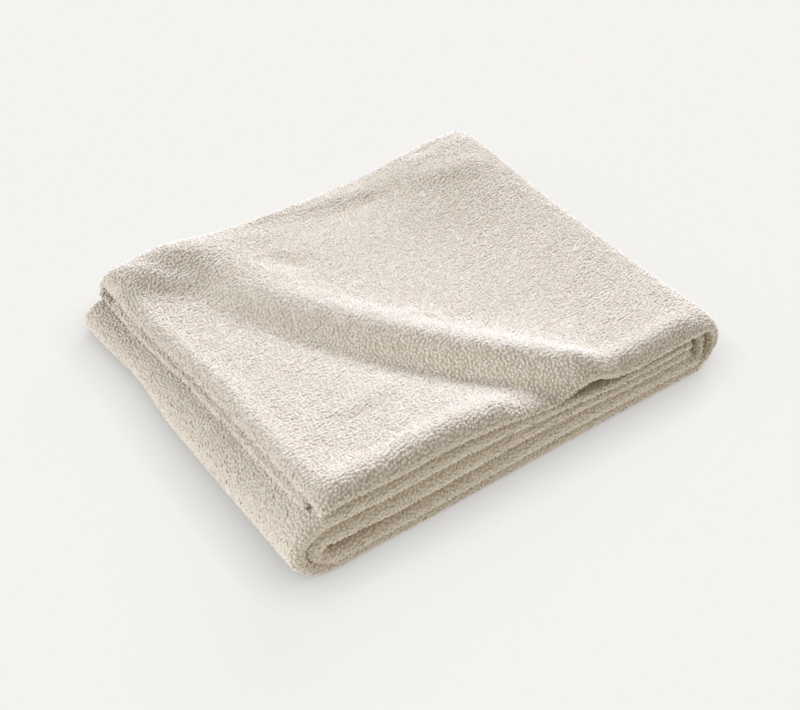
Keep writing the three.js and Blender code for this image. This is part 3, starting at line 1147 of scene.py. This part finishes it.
        def centre(t: float) -> Array:
            """Return a point of each loop's middle line."""
            sideways = bend * (t * t - self.bend_middle)
            rise = lift - self.sink * MM * t * t
            return places + along * half * t + side * sideways + up * rise

        shape = []
        for t, wide in self.rings:
            for number in range(self.sides):
                angle = 2.0 * math.pi * number / self.sides + math.pi / 2.0
                out = side * math.cos(angle) + up * (self.flat * math.sin(angle))
                shape.append(centre(t) + out * radius * wide)
        shape += [centre(-1.0), centre(1.0)]
        points = np.stack(shape, 1)
        points[..., 2] = np.maximum(points[..., 2], self.floor_gap * MM)
        return points

    def zones(self, plan: FoldPlan, places: Array, ways: Array) -> dict[Zone, Array]:
        """Share the loops out among the throw's parts.

        Args:
            plan: The fold plan.
            places: The loops' places in metres.
            ways: The cloth's normal at each place.

        Returns:
            For each part, True for each loop that is on it.
        """
        x, y, z = (places / MM).T
        third = plan.width / 6.0
        upward = ways[:, 2] > self.top_facing
        top = upward & ((z > self.top_height) | (x > plan.top_end_inner))
        forward = ways[:, 1] < self.front_facing
        front = ~top & (y < plan.front + self.front_depth) & forward
        back = ~top & ~front & (y > -plan.front - self.back_depth)
        side = ~top & ~front & ~back
        return {
            Zone.TOP_LEFT: top & (x < -third),
            Zone.TOP_MIDDLE: top & (np.abs(x) <= third),
            Zone.TOP_RIGHT: top & (x > third),
            Zone.FRONT: front,
            Zone.BACK: back,
            Zone.LEFT: side & (x < 0.0),
            Zone.RIGHT: side & (x >= 0.0),
        }

    def build(self, plan: FoldPlan, skin: Skin, normals: Array) -> list[bpy.types.Object]:
        """Make the loops' pieces.

        Args:
            plan: The fold plan.
            skin: The cloth's skin.
            normals: The normal at each of its points.

        Returns:
            One piece for each part of the throw.
        """
        places, ways = self.scatter(skin, normals)
        rng = np.random.default_rng(self.seed + 1)
        loops = self.points(places, ways, rng)
        quads, triangles, quad_map, triangle_map = self.pattern()
        pieces = []
        for zone, chosen in self.zones(plan, places, ways).items():
            points = loops[chosen]
            count, size = points.shape[:2]
            first = (np.arange(count) * size)[:, None, None]
            grid = math.ceil(math.sqrt(count))
            cell = np.stack([np.arange(count) % grid, np.arange(count) // grid], -1)[:, None, None]
            maps = [((cell + each) / grid).reshape(-1, 2) for each in (quad_map, triangle_map)]
            faces = [(first + each).reshape(-1, each.shape[1]) for each in (quads, triangles)]
            piece = make_piece(zone.value, points.reshape(-1, 3), faces, np.concatenate(maps))
            self.soften(piece.data, np.repeat(ways[chosen], size, axis=0))
            pieces.append(piece)
        return pieces

    def soften(self, mesh: bpy.types.Mesh, ways: Array) -> None:
        """Turn the loops' shading towards the cloth's, as light that scatters in wool does.

        Args:
            mesh: The loops' mesh.
            ways: The cloth's normal at each of its points.
        """
        mixed = unit(between(vertex_normals(mesh), ways, self.soft))
        mesh.normals_split_custom_set_from_vertices(mixed)


class Socket:
    """A shader socket that takes part in Python expressions."""

    def __init__(self, tree: "ShaderTree", socket: bpy.types.NodeSocket) -> None:
        """Wrap a socket of a tree."""
        self.tree = tree
        self.socket = socket

    def maths(self, operation: str, first: "Socket | float", second: "Socket | float") -> "Socket":
        """Add a Math node on two values."""
        return self.tree.node("ShaderNodeMath", {"operation": operation}, {0: first, 1: second})

    def __add__(self, other: "Socket | float") -> "Socket":
        """Add."""
        return self.maths("ADD", self, other)

    def __radd__(self, other: float) -> "Socket":
        """Add to a number."""
        return self.maths("ADD", other, self)

    def __mul__(self, other: "Socket | float") -> "Socket":
        """Multiply."""
        return self.maths("MULTIPLY", self, other)

    def __rmul__(self, other: float) -> "Socket":
        """Multiply a number."""
        return self.maths("MULTIPLY", other, self)


class ShaderTree:
    """The node tree of a new material."""

    def __init__(self, name: str) -> None:
        """Start a material with no nodes but its output.

        Args:
            name: The material's name.
        """
        self.material = bpy.data.materials.new(name)
        self.material.use_nodes = True
        self.nodes = self.material.node_tree.nodes
        self.links = self.material.node_tree.links
        self.nodes.clear()
        self.output = self.nodes.new("ShaderNodeOutputMaterial")

    def node(self, kind: str, settings: dict[str, object], inputs: dict[str | int, object],
             output: str | int = 0) -> Socket:
        """Add a node.

        Args:
            kind: The node's type.
            settings: Its settings, which are set first.
            inputs: Values or links of its sockets.
            output: The output that is wanted.

        Returns:
            That output.
        """
        node = self.nodes.new(kind)
        for key, value in settings.items():
            setattr(node, key, value)
        for key, value in inputs.items():
            if isinstance(value, Socket):
                self.links.new(value.socket, node.inputs[key])
            else:
                node.inputs[key].default_value = value
        return Socket(self, node.outputs[output])

    def mix(self, factor: Socket, first: Colour, second: Colour) -> Socket:
        """Mix two colours by a factor, which is the share of the second."""
        inputs = {"Factor": factor, 6: (*first, 1.0), 7: (*second, 1.0)}
        return self.node("ShaderNodeMix", {"data_type": "RGBA"}, inputs, 2)

    def finish(self, shader: Socket) -> bpy.types.Material:
        """Join the shader to the output and return the material."""
        self.links.new(shader.socket, self.output.inputs["Surface"])
        return self.material


@dataclass(frozen=True)
class Grain:
    """An unevenness of the wool."""

    size: float
    detail: float
    roughness: float

    def node(self, tree: ShaderTree, place: Socket) -> Socket:
        """Add its noise to a tree."""
        look = {"Scale": 1.0 / self.size, "Detail": self.detail, "Roughness": self.roughness}
        return tree.node("ShaderNodeTexNoise", {}, {"Vector": place, **look})


@dataclass(frozen=True)
class YarnFinish:
    """The matt, slightly uneven wool of the cloth."""

    name: str
    deep: Colour
    pale: Colour
    by_loop: float
    patch: Grain
    fibre: Grain
    fibre_depth: float
    patch_share: float = 0.6
    fibre_strength: float = 0.8
    roughness: float = 0.95
    gloss: float = 0.2
    sheen: float = 0.15
    sheen_roughness: float = 0.6

    def material(self) -> bpy.types.Material:
        """Make the material.

        Returns:
            The new material.
        """
        tree = ShaderTree(self.name)
        place = tree.node("ShaderNodeTexCoord", {}, {}, "Object")
        patch, fibre = self.patch.node(tree, place), self.fibre.node(tree, place)
        loop = tree.node("ShaderNodeNewGeometry", {}, {}, "Random Per Island")
        spread = patch * self.patch_share + fibre * (1.0 - self.patch_share)
        tone = loop * self.by_loop + spread * (1.0 - self.by_loop)
        relief = tree.node(
            "ShaderNodeBump", {},
            {"Height": fibre, "Distance": self.fibre_depth, "Strength": self.fibre_strength},
        )
        shader = tree.node(
            "ShaderNodeBsdfPrincipled", {},
            {
                "Base Color": tree.mix(tone, self.deep, self.pale),
                "Roughness": self.roughness,
                "Specular IOR Level": self.gloss,
                "Sheen Weight": self.sheen,
                "Sheen Roughness": self.sheen_roughness,
                "Normal": relief,
            },
        )
        return tree.finish(shader)


@dataclass(frozen=True)
class FloorFinish:
    """The pale floor, which glows so that the lamps' shadows on it stay light and close, with a
    painted contact shadow: its glow darkens towards the shade colour where ambient occlusion finds
    the throw close.
    """

    colour: Colour = (0.86, 0.85, 0.82)
    glow: Colour = (0.905, 0.896, 0.863)
    # Colour of the painted contact shadow, where the floor is fully hemmed in by the throw.
    shade: Colour = (0.34, 0.34, 0.34)
    shade_reach: float = 0.042
    shade_samples: int = 16
    share: float = 0.93

    def material(self) -> bpy.types.Material:
        """Make the material.

        Returns:
            The new material.
        """
        tree = ShaderTree("pale floor")
        matt = tree.node("ShaderNodeBsdfDiffuse", {}, {"Color": (*self.colour, 1.0)})
        # Painted contact shadow: the glow darkens towards the shade colour where the throw is
        # close.
        openness_for_painted_shadow = tree.node(
            "ShaderNodeAmbientOcclusion", {"samples": self.shade_samples},
            {"Distance": self.shade_reach}, "AO",
        )
        colour = tree.mix(openness_for_painted_shadow, self.shade, self.glow)
        glow = tree.node("ShaderNodeEmission", {}, {"Color": colour})
        return tree.finish(tree.node("ShaderNodeMixShader", {}, {0: self.share, 1: matt, 2: glow}))


@dataclass(frozen=True)
class Lamp:
    """A soft light from far away: its bearing is turned from +X towards +Y, in degrees."""

    name: str
    strength: float
    colour: Colour
    spread: float
    bearing: float
    height: float

    def build(self) -> None:
        """Make the light."""
        sun = bpy.data.lights.new(self.name, "SUN")
        sun.energy = self.strength
        sun.color = self.colour
        sun.angle = math.radians(self.spread)
        tip, turn = math.radians(90.0 - self.height), math.radians(90.0 + self.bearing)
        add_object(self.name, sun).rotation_euler = (tip, 0.0, turn)


@dataclass
class Studio:
    """A pale floor, low soft lights from the right and the left, and a weak warm one in front."""

    floor_size: float = 8.0
    sky: Colour = (1.0, 0.985, 0.96)
    sky_strength: float = 0.08
    lamps: tuple[Lamp, ...] = (
        Lamp("key", 4.1, (0.96, 1.0, 1.15), spread=26.0, bearing=34.0, height=28.0),
        Lamp("fill", 1.98, (0.98, 1.0, 1.04), spread=50.0, bearing=160.0, height=30.0),
        Lamp("front", 0.72, (1.0, 0.92, 0.76), spread=60.0, bearing=285.0, height=12.0),
    )
    finish: FloorFinish = FloorFinish()

    def build(self) -> None:
        """Make the floor, the sky and the light."""
        half = self.floor_size / 2.0
        mesh = bpy.data.meshes.new("floor")
        corners = [(-half, -half, 0.0), (half, -half, 0.0), (half, half, 0.0), (-half, half, 0.0)]
        mesh.from_pydata(corners, [], [(0, 1, 2, 3)])
        mesh.materials.append(self.finish.material())
        add_object("floor", mesh)
        world = bpy.data.worlds.new("studio")
        world.use_nodes = True
        sky = world.node_tree.nodes["Background"]
        sky.inputs["Color"].default_value = (*self.sky, 1.0)
        sky.inputs["Strength"].default_value = self.sky_strength
        bpy.context.scene.world = world
        for lamp in self.lamps:
            lamp.build()
        bpy.context.scene.view_settings.view_transform = "Standard"


@dataclass
class PhotoCamera:
    """The camera at the photograph's viewing angle."""

    lens: float = 60.0
    sensor: float = 36.0
    place: tuple[float, float, float] = (-0.5285, -0.7533, 0.8290)
    forward: tuple[float, float, float] = (0.4260, 0.6017, -0.6756)

    def build(self) -> None:
        """Make the camera and look through it."""
        data = bpy.data.cameras.new("camera")
        data.lens = self.lens
        data.sensor_width = self.sensor
        camera = add_object("camera", data)
        camera.location = self.place
        camera.rotation_euler = Vector(self.forward).to_track_quat("-Z", "Y").to_euler()
        bpy.context.scene.camera = camera


@dataclass
class Throw:
    """The whole throw: its sheet of cloth and the loops of yarn on it."""

    cloth: FoldedCloth
    loops: BoucleLoops
    ground: YarnFinish
    yarn: YarnFinish

    def build(self) -> list[bpy.types.Object]:
        """Returns:
            The pieces, the sheet first.
        """
        skin = self.cloth.build()
        sheet = make_piece("throw_cloth", skin.points, [skin.quads], skin.bake_map())
        sheet.data.materials.append(self.ground.material())
        loops = self.loops.build(self.cloth.plan, skin, vertex_normals(sheet.data))
        yarn = self.yarn.material()
        for piece in loops:
            piece.data.materials.append(yarn)
        for piece in (sheet, *loops):
            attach(piece, "root")
        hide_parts("throw")
        return [sheet, *loops]


def main() -> None:
    """Build the scene."""
    logging.basicConfig(level=logging.INFO, format="%(name)s: %(message)s")
    PhotoCamera().build()
    Studio().build()
    throw = Throw(
        cloth=FoldedCloth(FoldPlan()),
        loops=BoucleLoops(),
        # The cloth under the loops is darker and warmer than the yarn: partly its own tone, partly
        # painted shade for the gaps between the loops.
        ground=YarnFinish(
            "boucle ground with painted gap shade", deep=(0.71, 0.595, 0.45), pale=(0.84, 0.75, 0.60),
            by_loop=0.0,
            patch=Grain(0.004, detail=2.0, roughness=0.5),
            fibre=Grain(0.0012, detail=3.0, roughness=0.6),
            fibre_depth=0.0006,
        ),
        yarn=YarnFinish(
            "boucle yarn", deep=(0.875, 0.785, 0.655), pale=(0.95, 0.89, 0.80),
            by_loop=0.55,
            patch=Grain(0.03, detail=2.0, roughness=0.5),
            fibre=Grain(0.0007, detail=3.0, roughness=0.6),
            fibre_depth=0.0002,
        ),
    )
    total = 0
    for piece in throw.build():
        piece.data.calc_loop_triangles()
        count = len(piece.data.loop_triangles)
        total += count
        LOG.info("%s: %d triangles", piece.name, count)
    LOG.info("all pieces: %d triangles", total)


if __name__ == "__main__":
    main()
